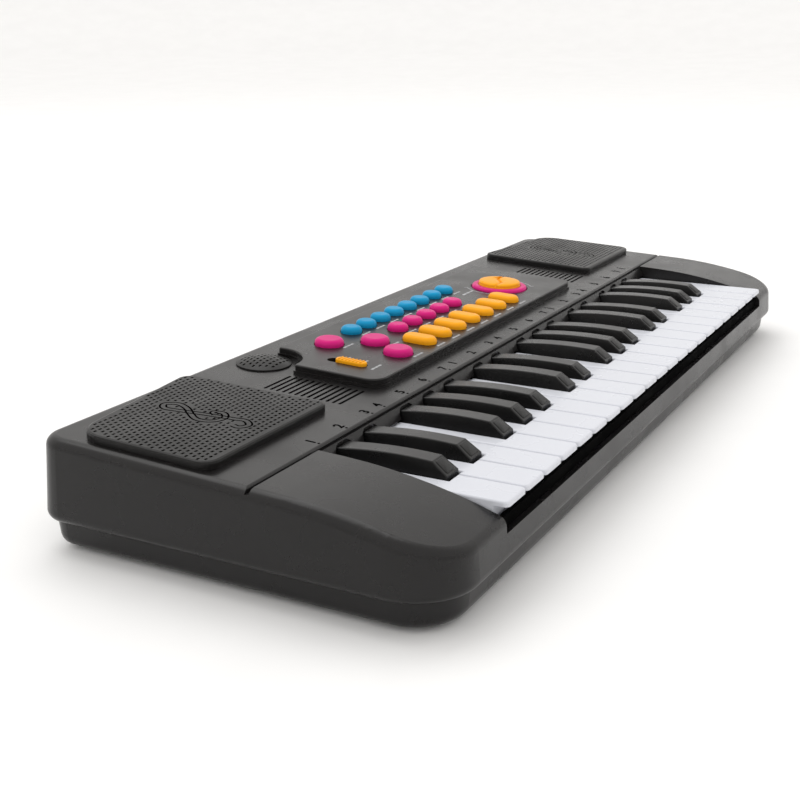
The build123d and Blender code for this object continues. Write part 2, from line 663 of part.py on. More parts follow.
def speaker_grille(side):
    pad = extrude(pad_outline(side), PAD_RISE)
    return DECK * fillet(pad.edges().group_by(Axis.Z)[-1], PAD_EDGE)


def loudspeakers():
    """Two small loudspeakers hung from the deck: rim, basket and magnet."""
    rim_top = -WALL
    driver = post(0, 0, rim_top - 1.6, rim_top, SPEAKER_RADIUS)
    driver += Pos(0, 0, rim_top - 5.6) * Cone(12, 21, 8)
    driver += post(0, 0, rim_top - 15.6, rim_top - 9.6, 13)
    driver -= Pos(0, 0, rim_top - 4) * Cone(8, 19, 8.1)
    return Compound([DECK * Pos(x, y, 0) * driver for x, y in on_both_sides([SPEAKER_XY])])


def pieces():
    """Every piece of the keyboard by name."""
    made = {
        "top_case": top_case(),
        "bottom_case": bottom_case(),
        "rubber_feet": rubber_feet(),
        "case_screws": case_screws(),
        "battery_door": battery_door(),
        "battery_contacts": battery_contacts(),
        "key_frame": key_frame(),
        "contact_board": contact_board(),
        "contact_rubber": contact_rubber(),
        "control_panel": control_panel(),
        "main_board": main_board(),
        "blue_buttons": button_comb(BLUE_XY, Circle(SMALL_RADIUS)),
        "pink_buttons": button_comb(PINK_XY, Circle(SMALL_RADIUS)),
        "yellow_buttons": button_comb(YELLOW_XY, oval()),
        "dial_ring": dial_ring(),
        "dial_rocker": dial_rocker(),
        "power_slider": power_slider(),
        "left_speaker_grille": speaker_grille(-1),
        "right_speaker_grille": speaker_grille(1),
        "loudspeakers": loudspeakers(),
    }
    for number, (x, y) in enumerate(LARGE_XY, 1):
        made[f"large_pink_button_{number}"] = large_button(x, y)
    for index in range(WHITE_COUNT):
        made[f"white_key_{index + 1:02d}"] = white_key(index)
    for number, semitone in enumerate(black_semitones(), 1):
        made[f"black_key_{number:02d}"] = black_key(semitone)
    return made


os.makedirs("parts", exist_ok=True)
for name, solid in pieces().items():
    export_step(Pos(0, -MIDDLE_Y, 0) * solid, f"parts/{name}.step")
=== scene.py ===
import math

import bmesh
import bpy
from mathutils import Matrix, Vector


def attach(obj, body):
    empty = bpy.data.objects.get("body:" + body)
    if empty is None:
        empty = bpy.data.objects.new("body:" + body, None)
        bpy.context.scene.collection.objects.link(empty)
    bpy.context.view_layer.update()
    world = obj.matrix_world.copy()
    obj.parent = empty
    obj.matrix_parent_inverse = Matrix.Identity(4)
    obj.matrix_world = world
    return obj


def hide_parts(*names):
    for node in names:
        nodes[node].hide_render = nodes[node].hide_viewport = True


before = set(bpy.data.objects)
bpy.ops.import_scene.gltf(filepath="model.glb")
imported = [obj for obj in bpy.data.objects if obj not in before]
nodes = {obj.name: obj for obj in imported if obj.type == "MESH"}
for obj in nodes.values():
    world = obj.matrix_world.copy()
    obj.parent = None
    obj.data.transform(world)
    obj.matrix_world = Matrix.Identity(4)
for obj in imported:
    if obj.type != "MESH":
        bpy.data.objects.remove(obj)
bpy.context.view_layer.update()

# Lengths are written in millimetres and scaled once. Depths are the CAD source's, and MIDDLE_Y is taken
# off them to reach the row frame. The deck is a plane that rises towards the back.
MM = 0.001
DECK_SLOPE = 0.046
DECK_ZERO_HEIGHT = 39.94
MIDDLE_Y = 2.5
DECK_NORM = math.sqrt(1 + DECK_SLOPE**2)

# Places of the features on the deck, as the CAD has them
WHITE_PITCH = 16.3
SLOT_PITCH = 7 * WHITE_PITCH / 12
KEYBED_LEFT = -11 * WHITE_PITCH
WHITE_STEPS = (0, 2, 4, 5, 7, 9, 11)
BLACK_STEPS = (1, 3, 6, 8, 10)
DIGIT_Y = -1.5
DIGIT_HEIGHT = 4.3
DIGIT_BODY = 1.35
DIGIT_BOLD = 0.12
DIGIT_THICKNESS = 0.04
OCTAVE_DOT_AWAY = 3.2
OCTAVE_DOT_RADIUS = 0.5
OCTAVE_DOT_LEVELS = (-0.05, 0.06)
DIGIT_LEVEL = 0.03
PAD_CORNERS = [(142.0, 11.0), (217.3, 11.0), (217.3, 69.0), (144.0, 78.0)]
PAD_ROUNDS = [4.0, 6.0, 12.0, 5.0]
PAD_CORNER_STEPS = 8
SMALLEST_ROUND = 0.3
PAD_RISE = 3.0
PAD_PROFILE = [(0.0, -0.2), (0.0, PAD_RISE - 1.0), (0.3, PAD_RISE - 0.3), (1.0, PAD_RISE)]
PAD_BORDER = 2.0
MIC_CENTRE = (-107.0, 65.2)
MIC_RADIUS = 11.8
MIC_RISE = 2.7
DIAL_CENTRE = (67.0, 33.6)
SLIDER_CENTRE = (-96.0, 28.6)
BLUE_XY = [(-54.3 + 13.44 * i, 53.2) for i in range(8)]
PINK_XY = [(-38.1 + 14.2 * i, 37.9) for i in range(5)]
YELLOW_XY = [(-49.9 + 15.4 * i, 20.4) for i in range(7)]
LARGE_XY = [(-77.0, 51.1), (-63.0, 35.9), (-71.8, 19.4)]

# Pockets of the grilles and the dome
HOLE_PITCH_X = 2.68
HOLE_PITCH_Y = 2.4
HOLE_SIZE = (1.5, 0.95)
HOLE_DEPTH = 1.2
MIC_WALL = 0.6
MIC_FOOT = -0.3
MIC_BORDER = 1.4
MIC_FIRST_ROW = 1.2
MIC_SIDES = 48
MIC_RINGS = 9
HOLE_OVERSHOOT = 1.0
FIRST_PAD_ROW_Y = 12.3

# A plain treble clef, upright, one unit high above and below its middle
CLEF_POINTS = [
    (0.10, -0.16), (0.20, -0.04), (0.24, -0.24), (0.04, -0.40), (-0.22, -0.30), (-0.28, -0.02),
    (-0.10, 0.26), (0.10, 0.50), (0.20, 0.78), (0.06, 0.98), (-0.12, 0.84), (-0.08, 0.50),
    (0.02, 0.0), (0.10, -0.55), (0.14, -0.80), (-0.02, -0.98), (-0.20, -0.90), (-0.18, -0.74),
]
CLEF_SCALE = 20.0
CLEF_X = 179.0
CLEF_Y = 41.5
CLEF_WIDTH = 2.3
CLEF_CLEAR = 2.3
CLEF_GROOVE_WIDTH = 0.75
CLEF_GROOVE_DEPTH = 0.9

# Labels: each has the points it belongs to, its offset from them and its length and height
LABEL_LOW = 3.6
LABEL_HIGH = 3.76
SMALL_LABEL = (7.2, 1.0)
LARGE_LABEL = (8.0, 1.1)
SWITCH_MARK = (3.0, 1.0)
DIAL_LABEL = (12.0, 1.2)
LABELS = [
    (BLUE_XY, (1.5, -6.9), SMALL_LABEL),
    (PINK_XY, (1.5, -6.9), SMALL_LABEL),
    (YELLOW_XY, (0.8, -10.3), SMALL_LABEL),
    (LARGE_XY, (2.5, -8.4), LARGE_LABEL),
    ([SLIDER_CENTRE], (5.6, 4.5), SWITCH_MARK),
    ([SLIDER_CENTRE], (5.6, -4.0), SWITCH_MARK),
    ([SLIDER_CENTRE], (1.0, -11.5), LARGE_LABEL),
    ([DIAL_CENTRE], (-22.0, 8.0), DIAL_LABEL),
]
LABEL_BARS = [(0.0, 0.32), (0.38, 0.66), (0.72, 1.0)]
BRACKET_WIDTH = 0.5
BRACKET_TICK = 1.6
BRACKET_RADIUS = 17.6
BRACKET_ANGLES = [(130, 205), (-50, 25)]

# Dial: the rocker halves follow an S-shaped split, turned a little from the row's direction
ROCKER_OUT = 10.9
ROCKER_TURN = 12.0
ROCKER_GAP = 0.5
ROCKER_WAVE = 1.8
ROCKER_CROWN_Y = 5.0
ROCKER_SPLIT_STEPS = 16
ROCKER_RIM_START = 4
ROCKER_RIM_STEPS = 20
ROCKER_PROFILE = [(1.0, 5.4), (1.0, 6.6), (0.94, 7.1), (0.8, 7.4), (0.5, 7.6), (0.2, 7.7)]

# Key noses, as depth and height, then the power slider with the painted-shade plate under its slot, and the
# painted-shade strip under the keys' lips
NOSE_LOW = (-52.7, 33.9)
NOSE_HIGH = (-46.6, 38.3)
NOSE_HALF = 3.2
NOSE_TAPER = 0.45
NOSE_ROUND = 0.8
NOSE_MARGIN = 1.5
NOSE_PROFILE = [(0.0, -0.1), (0.0, 0.1), (0.25, 0.26)]
NOSE_SHRINK = 2.6
RIB_COUNT = 7
RIB_PITCH = 1.7
RIB_HALF = (1.9, 0.3)
RIB_FIRST_Y = -5.1
RIB_LEVELS = (5.0, 5.4)
SLOT_FLOOR_Y = 1.5
SLOT_FLOOR_HALF = (7.0, 12.5)
SLOT_FLOOR_LEVELS = (-2.3, -1.8)
BAND_FRONT = -77.4
BAND_HALF = 179.9
BAND_PROFILE = [(-0.12, 22.65), (-0.12, 27.3), (1.7, 27.3), (1.7, 27.15), (0.02, 27.15), (0.02, 22.65)]

# Camera, fitted to the photograph's perspective
CAMERA_PLACE = (-0.51323, -0.22464, 0.18302)
CAMERA_AZIMUTH = -61.40
CAMERA_ELEVATION = 17.62
CAMERA_ROLL = -0.50
CAMERA_LENS = 54.33

# Light and floor in metres: the floor's radius and height, out to where it curves up
WORLD_COLOR = (1.0, 0.985, 0.965, 1.0)
WORLD_STRENGTH = 1.12
LAMP_PLACE = (0.3, 0.7, 1.7)
LAMP_SIZE = (1.6, 1.1)
LAMP_POWER = 9.0
FLOOR_WHITE = 0.88
FLOOR_SIDES = 96
FLOOR_PROFILE = [(3.2, 0.0), (3.9, 0.06), (4.5, 0.30), (4.9, 0.75), (5.1, 1.4)]


def deck(x, y, z=0.0):
    """A point of the deck's own plane in the row frame: z is square to the deck."""
    return Vector((
        x * MM,
        ((y - z * DECK_SLOPE) / DECK_NORM - MIDDLE_Y) * MM,
        (DECK_ZERO_HEIGHT + (y * DECK_SLOPE + z) / DECK_NORM) * MM,
    ))


def deck_matrix(x, y, z=0.0):
    """A transform that lays a flat object on the deck at that point."""
    tilt = Matrix.Rotation(math.atan(DECK_SLOPE), 4, "X")
    return Matrix.Translation(deck(x, y, z)) @ tilt


# Materials

class Nodes:
    """A short way to add and join the nodes of one material."""

    def __init__(self, name):
        self.material = bpy.data.materials.new(name)
        self.material.use_nodes = True
        self.tree = self.material.node_tree
        self.shader = self.tree.nodes["Principled BSDF"]

    def add(self, kind, **settings):
        node = self.tree.nodes.new(kind)
        for key, value in settings.items():
            if hasattr(node, key):
                setattr(node, key, value)
            else:
                node.inputs[key].default_value = value
        return node

    def join(self, source, target):
        self.tree.links.new(source, target)

    def noise(self, scale, detail=3.0):
        place = self.add("ShaderNodeTexCoord")
        noise = self.add("ShaderNodeTexNoise", Scale=scale, Detail=detail)
        self.join(place.outputs["Object"], noise.inputs["Vector"])
        return noise.outputs["Fac"]

    def ramp(self, factor, low, high, start=0.35, end=0.65):
        ramp = self.add("ShaderNodeValToRGB")
        ramp.color_ramp.elements[0].position = start
        ramp.color_ramp.elements[1].position = end
        ramp.color_ramp.elements[0].color = low
        ramp.color_ramp.elements[1].color = high
        self.join(factor, ramp.inputs["Fac"])
        return ramp.outputs["Color"]


def shade(color, factor):
    return tuple(min(1.0, c * factor) for c in color) + (1.0,)


def plastic(name, color, roughness, variation=0.12, bump=0.02, grain=1800.0, wear=0.08, level=0.3):
    """Moulded plastic: faint colour drift, fine grain, scuffs that change the gloss."""
    m = Nodes(name)
    m.shader.inputs["Specular IOR Level"].default_value = level
    drift = m.ramp(m.noise(14.0), shade(color, 1 - variation), shade(color, 1 + variation))
    scuff = m.noise(160.0, 6.0)
    worn = m.add("ShaderNodeMix", data_type="RGBA")
    m.join(drift, worn.inputs["A"])
    worn.inputs["B"].default_value = shade([c * 1.5 + 0.01 for c in color], 1.0)
    mask = m.ramp(scuff, (0, 0, 0, 1), (wear, wear, wear, 1), 0.56, 0.74)
    m.join(mask, worn.inputs["Factor"])
    m.join(worn.outputs["Result"], m.shader.inputs["Base Color"])
    gloss = m.ramp(m.noise(45.0, 5.0), (roughness * 0.86,) * 3 + (1,), (roughness * 1.16,) * 3 + (1,))
    m.join(gloss, m.shader.inputs["Roughness"])
    raised = m.add("ShaderNodeBump", Strength=bump, Distance=0.0002)
    m.join(m.noise(grain, 2.0), raised.inputs["Height"])
    m.join(raised.outputs["Normal"], m.shader.inputs["Normal"])
    return m.material


def metal(name, color, roughness):
    """Plated steel with fine streaks."""
    m = Nodes(name)
    m.shader.inputs["Metallic"].default_value = 1.0
    m.join(m.ramp(m.noise(220.0), shade(color, 0.85), shade(color, 1.1)), m.shader.inputs["Base Color"])
    streaks = m.ramp(m.noise(600.0), (roughness * 0.8,) * 3 + (1,), (roughness * 1.3,) * 3 + (1,))
    m.join(streaks, m.shader.inputs["Roughness"])
    return m.material


CASE = plastic("case_black", (0.0075, 0.0068, 0.0068), 0.27, bump=0.03)
PANEL = plastic("panel_black", (0.0080, 0.0072, 0.0070), 0.30, bump=0.03)
GRILLE = plastic("grille_black", (0.0075, 0.0070, 0.0068), 0.36, bump=0.05, level=0.22)
# Near-black, very rough and almost without reflection: painted shade for pocket walls, grooves, the slider's
# slot and the strip under the keys' lips
PAINTED_SHADE = plastic("painted_shade_black", (0.0015, 0.0015, 0.0015), 0.9, level=0.02)
WHITE_KEY = plastic("white_key_plastic", (0.60, 0.615, 0.665), 0.26, variation=0.015, bump=0.01, wear=0.02)
BLACK_KEY = plastic("black_key_plastic", (0.0050, 0.0048, 0.0048), 0.27, bump=0.03)
BLUE = plastic("blue_plastic", (0.007, 0.262, 0.490), 0.30, variation=0.05, bump=0.015, wear=0.03, level=0.08)
PINK = plastic("pink_plastic", (0.600, 0.014, 0.185), 0.30, variation=0.05, bump=0.015, wear=0.03, level=0.08)
YELLOW = plastic("yellow_plastic", (0.860, 0.360, 0.010), 0.30, variation=0.04, bump=0.015, wear=0.03,
                 level=0.08)
PRINT = plastic("white_print", (0.42, 0.43, 0.44), 0.55, level=0.05)
NOSE = plastic("black_key_nose", (0.0060, 0.0058, 0.0058), 0.42, bump=0.5, grain=2600.0)
INK = plastic("black_ink", (0.0010, 0.0010, 0.0010), 0.9, level=0.0)
RUBBER = plastic("feet_rubber", (0.02, 0.02, 0.02), 0.75, bump=0.15)
SILICONE = plastic("contact_silicone", (0.36, 0.36, 0.34), 0.6)
FRAME_PLASTIC = plastic("frame_dark", (0.006, 0.006, 0.0065), 0.55)
BOARD = plastic("board_green", (0.02, 0.12, 0.05), 0.4, variation=0.2)
STEEL = metal("screw_steel", (0.55, 0.55, 0.56), 0.35)
SPRING_STEEL = metal("contact_steel", (0.75, 0.75, 0.74), 0.25)
SPEAKER = plastic("speaker_black", (0.03, 0.03, 0.032), 0.5)


def paint(name, material):
    mesh = nodes[name].data
    mesh.materials.clear()
    mesh.materials.append(material)


for node in nodes:
    if node.startswith("white_key"):
        paint(node, WHITE_KEY)
    elif node.startswith("black_key"):
        paint(node, BLACK_KEY)
for node in ("top_case", "bottom_case", "battery_door"):
    paint(node, CASE)
paint("control_panel", PANEL)
# The plain CAD grilles get the painted-shade black; they are hidden once their perforated copies are made
for node in ("left_speaker_grille", "right_speaker_grille"):
    paint(node, PAINTED_SHADE)
for node in ("pink_buttons", "dial_ring"):
    paint(node, PINK)
for number in (1, 2, 3):
    paint(f"large_pink_button_{number}", PINK)
for node in ("yellow_buttons", "power_slider"):
    paint(node, YELLOW)
paint("dial_rocker", YELLOW)
paint("blue_buttons", BLUE)
paint("rubber_feet", RUBBER)
paint("case_screws", STEEL)
paint("battery_contacts", SPRING_STEEL)
paint("key_frame", FRAME_PLASTIC)
paint("contact_board", BOARD)
paint("contact_rubber", SILICONE)
paint("main_board", BOARD)
paint("loudspeakers", SPEAKER)


# Pieces made here

def piece(name, mesh, material, body="case", smooth=True):
    """A finished mesh becomes a piece that rides on a body."""
    item = bpy.data.objects.new(name, mesh)
    bpy.context.scene.collection.objects.link(item)
    mesh.materials.clear()
    mesh.materials.append(material)
    for face in mesh.polygons:
        face.use_smooth = smooth
    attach(item, body)
    return item


def from_bmesh(name, bm):
    mesh = bpy.data.meshes.new(name)
    bmesh.ops.recalc_face_normals(bm, faces=bm.faces)
    bm.to_mesh(mesh)
    bm.free()
    return mesh


def join_rings(bm, rings):
    """Side faces between each ring of vertices and the next."""
    for lower, upper in zip(rings, rings[1:]):
        for i in range(len(lower)):
            j = (i + 1) % len(lower)
            bm.faces.new((lower[i], lower[j], upper[j], upper[i]))


def skin(bm, rings):
    """A closed solid over a stack of rings, with a cap at each end."""
    join_rings(bm, rings)
    bm.faces.new(rings[-1])
    bm.faces.new(list(reversed(rings[0])))


def prism(bm, outline, low, high):
    """A closed upright prism on the deck from a plan outline in millimetres."""
    bottom = [bm.verts.new(deck(x, y, low)) for x, y in outline]
    top = [bm.verts.new(deck(x, y, high)) for x, y in outline]
    bm.faces.new(top)
    bm.faces.new(list(reversed(bottom)))
    join_rings(bm, [bottom, top])


def box_outline(x, y, half_x, half_y):
    """The four corners of a rectangle about a point."""
    return [(x - half_x, y - half_y), (x + half_x, y - half_y),
            (x + half_x, y + half_y), (x - half_x, y + half_y)]


def arc(centre, radius, start, end, steps):
    """Points along a circle's arc, angles in degrees."""
    angles = [math.radians(start + (end - start) * i / steps) for i in range(steps + 1)]
    return [(centre[0] + radius * math.cos(a), centre[1] + radius * math.sin(a)) for a in angles]


def circle(centre, radius, count):
    """Evenly spaced points once around a circle."""
    return arc(centre, radius, 0, 360 - 360 / count, count - 1)


def across_path(path, i):
    """The direction square to the path at its point i, to the left of its run."""
    ahead, behind = path[min(i + 1, len(path) - 1)], path[max(i - 1, 0)]
    along = Vector((ahead[0] - behind[0], ahead[1] - behind[1])).normalized()
    return Vector((-along.y, along.x))


def ribbon(bm, path, width, low, high):
    """A raised line of constant width along an open path on the deck."""
    rings = []
    for i, (x, y) in enumerate(path):
        side = across_path(path, i) * width / 2
        left, right = (x + side.x, y + side.y), (x - side.x, y - side.y)
        corners = [(left, low), (left, high), (right, high), (right, low)]
        rings.append([bm.verts.new(deck(*point, z)) for point, z in corners])
    join_rings(bm, rings)
    bm.faces.new(rings[0])
    bm.faces.new(list(reversed(rings[-1])))


def inside(point, polygon):
    """True if the point is inside the polygon."""
    x, y = point
    result = False
    for (x0, y0), (x1, y1) in zip(polygon, polygon[1:] + polygon[:1]):
        if (y0 > y) != (y1 > y) and x < (x1 - x0) * (y - y0) / (y1 - y0) + x0:
            result = not result
    return result


def make_digits():
    """The numbers 1 to 7 printed on the deck behind the white keys, with octave dots."""
    bm = bmesh.new()
    for index in range(22):
        octave, step = divmod(index, 7)
        semitone = 12 * octave + WHITE_STEPS[step]
        x = KEYBED_LEFT + SLOT_PITCH * (semitone + 0.5)
        curve = bpy.data.curves.new("digit", "FONT")
        curve.body = str(step + 1)
        curve.size = DIGIT_HEIGHT * DIGIT_BODY * MM
        curve.align_x = "CENTER"
        curve.align_y = "CENTER"
        curve.extrude = DIGIT_THICKNESS * MM
        curve.offset = DIGIT_BOLD * MM
        text = bpy.data.objects.new("digit", curve)
        bpy.context.scene.collection.objects.link(text)
        bpy.context.view_layer.update()
        shown = text.evaluated_get(bpy.context.evaluated_depsgraph_get())
        mesh = bpy.data.meshes.new_from_object(shown)
        mesh.transform(deck_matrix(x, DIGIT_Y, DIGIT_LEVEL))
        bm.from_mesh(mesh)
        bpy.data.objects.remove(text)
        if octave != 1 or index == 21:
            side = -1 if octave == 0 else 1
            centre = (x, DIGIT_Y + side * OCTAVE_DOT_AWAY)
            prism(bm, circle(centre, OCTAVE_DOT_RADIUS, 12), *OCTAVE_DOT_LEVELS)
    piece("scale_numbers", from_bmesh("scale_numbers", bm), INK, smooth=False)


def carve(name, base, cutter, body, replaced=None):
    """The base mesh less the cutter's, whose cut walls and floors keep the cutter's near-black material as
    painted shade in the pockets.
    """
    target = bpy.data.objects.new(name, base)
    tool = bpy.data.objects.new(name + "_cutter", cutter)
    for item in (target, tool):
        bpy.context.scene.collection.objects.link(item)
    # The cutter carries the painted-shade black onto the walls and floors it cuts
    cutter.materials.append(PAINTED_SHADE)
    cut = target.modifiers.new("cut", "BOOLEAN")
    cut.operation = "DIFFERENCE"
    cut.solver = "EXACT"
    cut.use_self = True
    cut.material_mode = "TRANSFER"
    cut.object = tool
    bpy.context.view_layer.update()
    shown = target.evaluated_get(bpy.context.evaluated_depsgraph_get())
    mesh = bpy.data.meshes.new_from_object(shown)
    bpy.data.objects.remove(tool)
    target.modifiers.clear()
    target.data = mesh
    mesh.name = name
    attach(target, body)
    if replaced:
        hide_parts(replaced)


def hole_grid(bm, contains, low, high, height):
    """Staggered rectangular pockets: a cell's middle is kept when contains() accepts it."""
    row = 0
    y = low[1]
    while y < high[1]:
        x = low[0] + (HOLE_PITCH_X / 2 if row % 2 else 0.0)
        while x < high[0]:
            if contains(x, y):
                outline = box_outline(x, y, HOLE_SIZE[0] / 2, HOLE_SIZE[1] / 2)
                top = height(x, y)
                prism(bm, outline, top - HOLE_DEPTH, top + HOLE_OVERSHOOT)
            x += HOLE_PITCH_X
        row += 1
        y += HOLE_PITCH_Y


def smooth_path(points, steps=6):
    """A Catmull-Rom curve through the points."""
    path = []
    padded = [points[0]] + points + [points[-1]]
    for p0, p1, p2, p3 in zip(padded, padded[1:], padded[2:], padded[3:]):
        for i in range(steps):
            t = i / steps
            path.append(tuple(
                0.5 * (2 * b + (c - a) * t + (2 * a - 5 * b + 4 * c - d) * t**2
                       + (3 * b - a - 3 * c + d) * t**3)
                for a, b, c, d in zip(p0, p1, p2, p3)))
    return path + [points[-1]]


def offset_path(path, distance):
    """The path moved sideways by a distance."""
    moved = []
    for i, (x, y) in enumerate(path):
        side = across_path(path, i)
        moved.append((x + side.x * distance, y + side.y * distance))
    return moved


def clef_path(side):
    """A plain treble clef laid with its top to the back, in deck millimetres."""
    points = [(x * CLEF_SCALE + side * CLEF_X, y * CLEF_SCALE + CLEF_Y) for x, y in CLEF_POINTS]
    return smooth_path(points)


def pad_shape(side, inset):
    """A speaker pad's plan, drawn in by inset, with rounded corners."""
    corners = PAD_CORNERS
    outline = []
    for i, (corner, radius) in enumerate(zip(corners, PAD_ROUNDS)):
        before = Vector(corners[i - 1])
        after = Vector(corners[(i + 1) % len(corners)])
        point = Vector(corner)
        inward = ((before - point).normalized() + (after - point).normalized()).normalized()
        half = (before - point).angle(after - point) / 2
        centre = point + inward * radius / math.sin(half)
        start = (point + (before - point).normalized() * radius / math.tan(half)) - centre
        end = (point + (after - point).normalized() * radius / math.tan(half)) - centre
        for step in range(PAD_CORNER_STEPS + 1):
            turned = start.slerp(end, step / PAD_CORNER_STEPS).normalized()
            turned = turned * max(radius - inset, SMALLEST_ROUND)
            place = centre + turned
            outline.append((side * place.x, place.y))
    return outline if side > 0 else list(reversed(outline))


def distance_to_path(x, y, path):
    """How far a point is from the nearest point of the path."""
    return min(math.hypot(x - a, y - b) for a, b in path)


def make_grille(side, node):
    """A raised pad with a rounded rim, staggered pockets and an engraved clef."""
    bm = bmesh.new()
    rings = []
    for inset, z in PAD_PROFILE:
        rings.append([bm.verts.new(deck(x, y, z)) for x, y in pad_shape(side, inset)])
    skin(bm, rings)
    base = from_bmesh(node + "_base", bm)
    base.materials.append(GRILLE)

    path = clef_path(side)
    border = pad_shape(side, PAD_BORDER)
    low = (min(x for x, _ in border), FIRST_PAD_ROW_Y)
    high = (max(x for x, _ in border), max(y for _, y in PAD_CORNERS))
    cutter = bmesh.new()
    hole_grid(
        cutter,
        lambda x, y: inside((x, y), border) and distance_to_path(x, y, path) > CLEF_CLEAR,
        low, high, lambda x, y: PAD_RISE,
    )
    for sideways in (-CLEF_WIDTH / 2, CLEF_WIDTH / 2):
        ribbon(cutter, offset_path(path, sideways), CLEF_GROOVE_WIDTH, PAD_RISE - CLEF_GROOVE_DEPTH,
               PAD_RISE + HOLE_OVERSHOOT)
    carve(node + "_perforated", base, from_bmesh(node + "_holes", cutter), "case", node)


def mic_height(x, y):
    """Height of the small dome above the deck at a point of its plan."""
    away = math.hypot(x - MIC_CENTRE[0], y - MIC_CENTRE[1]) / MIC_RADIUS
    return MIC_WALL + (MIC_RISE - MIC_WALL) * max(0.0, 1 - away**2)


def make_mic_dome():
    """The small perforated cap over the round dome, with a short upright wall."""
    bm = bmesh.new()
    rings = [[bm.verts.new(deck(x, y, MIC_FOOT)) for x, y in circle(MIC_CENTRE, MIC_RADIUS, MIC_SIDES)]]
    for step in range(MIC_RINGS):
        radius = MIC_RADIUS * math.cos(math.radians(90 * step / MIC_RINGS))
        points = circle(MIC_CENTRE, radius, MIC_SIDES)
        rings.append([bm.verts.new(deck(x, y, mic_height(x, y))) for x, y in points])
    skin(bm, rings)
    base = from_bmesh("mic_base", bm)
    base.materials.append(GRILLE)
    cutter = bmesh.new()
    low = (MIC_CENTRE[0] - MIC_RADIUS, MIC_CENTRE[1] - MIC_RADIUS + MIC_FIRST_ROW)
    high = (MIC_CENTRE[0] + MIC_RADIUS, MIC_CENTRE[1] + MIC_RADIUS)
    hole_grid(
        cutter,
        lambda x, y: math.hypot(x - MIC_CENTRE[0], y - MIC_CENTRE[1]) < MIC_RADIUS - MIC_BORDER,
        low, high, mic_height,
    )
    carve("microphone_dome", base, from_bmesh("mic_holes", cutter), "case")


def dashes(bm, x, y, size):
    """A label line: three bars with small gaps, centred on a point."""
    length, height = size
    for start, end in LABEL_BARS:
        middle = x + ((start + end) / 2 - 0.5) * length
        prism(bm, box_outline(middle, y, (end - start) / 2 * length, height / 2), LABEL_LOW, LABEL_HIGH)


def make_labels():
    """Short plain dashes where the case has printed labels, and the dial's brackets."""
    bm = bmesh.new()
    for points, (shift, drop), size in LABELS:
        for x, y in points:
            dashes(bm, x + shift, y + drop, size)
    for start, end in BRACKET_ANGLES:
        curve = arc(DIAL_CENTRE, BRACKET_RADIUS, start, end, 14)
        ribbon(bm, curve, BRACKET_WIDTH, LABEL_LOW, LABEL_HIGH)
        for angle in (start, end):
            reach = (BRACKET_RADIUS, BRACKET_RADIUS + BRACKET_TICK)
            tick = [arc(DIAL_CENTRE, radius, angle, angle, 1)[0] for radius in reach]
            ribbon(bm, tick, BRACKET_WIDTH, LABEL_LOW, LABEL_HIGH)
    piece("panel_labels", from_bmesh("panel_labels", bm), PRINT, smooth=False)


def rocker_half(sign):
    """One domed half of the dial's rocker, on one side of its S-shaped split."""
    bm = bmesh.new()
    turn = math.radians(ROCKER_TURN)
    steps = [-1 + 2 * i / ROCKER_SPLIT_STEPS for i in range(ROCKER_SPLIT_STEPS + 1)]
    split = [(ROCKER_OUT * t, sign * ROCKER_GAP + ROCKER_WAVE * math.sin(math.pi * t)) for t in steps]
    rim_end = 180 - ROCKER_RIM_START
    rim = arc((0, 0), ROCKER_OUT, ROCKER_RIM_START * sign, rim_end * sign, ROCKER_RIM_STEPS)
    outline = split + rim[1:-1]
    crown_y = sign * ROCKER_CROWN_Y
    rings = []
    for scale, z in ROCKER_PROFILE:
        ring = []
        for x, y in outline:
            across = x * scale
            along = crown_y + (y - crown_y) * scale
            turned_x = across * math.cos(turn) - along * math.sin(turn)
            turned_y = across * math.sin(turn) + along * math.cos(turn)
            ring.append(bm.verts.new(deck(DIAL_CENTRE[0] + turned_x, DIAL_CENTRE[1] + turned_y, z)))
        rings.append(ring)
    skin(bm, rings)
    return from_bmesh("rocker_half", bm)


def make_rocker():
    """The dial's yellow disc as two halves either side of its split."""
    for name, sign in (("rocker_back_half", 1), ("rocker_front_half", -1)):
        piece(name, rocker_half(sign), YELLOW, "dial_rocker_body")


def make_nose(x, node):
    """A thin rounded plate on the sloping nose of the black key at x."""
    low = Vector((x, NOSE_LOW[0] - MIDDLE_Y, NOSE_LOW[1])) * MM
    high = Vector((x, NOSE_HIGH[0] - MIDDLE_Y, NOSE_HIGH[1])) * MM
    across = Vector((1, 0, 0))
    along = (high - low).normalized()
    out = across.cross(along).normalized()
    middle = (high - low).length / MM / 2
    corners = []
    for side, end, start in ((1, -1, -90), (1, 1, 0), (-1, 1, 90), (-1, -1, 180)):
        half = NOSE_HALF if end < 0 else NOSE_HALF - NOSE_TAPER
        centre = (side * (half - NOSE_ROUND), middle + end * (middle - NOSE_MARGIN))
        corners += arc(centre, NOSE_ROUND, start, start + 90, 4)
    bm = bmesh.new()
    rings = []
    for inset, z in NOSE_PROFILE:
        scale = 1 - inset / NOSE_SHRINK
        ring = []
        for a, b in corners:
            place = low + across * (a * scale) * MM + along * (middle + (b - middle) * scale) * MM
            ring.append(bm.verts.new(place + out * z * MM))
        rings.append(ring)
    skin(bm, rings)
    piece(node + "_nose", from_bmesh(node + "_nose", bm), NOSE, node + "_body")


def make_key_noses():
    """The grained plate set into each black key's sloping nose."""
    number = 0
    for octave in range(3):
        for step in BLACK_STEPS:
            number += 1
            x = KEYBED_LEFT + SLOT_PITCH * (12 * octave + step + 0.5)
            make_nose(x, f"black_key_{number:02d}")


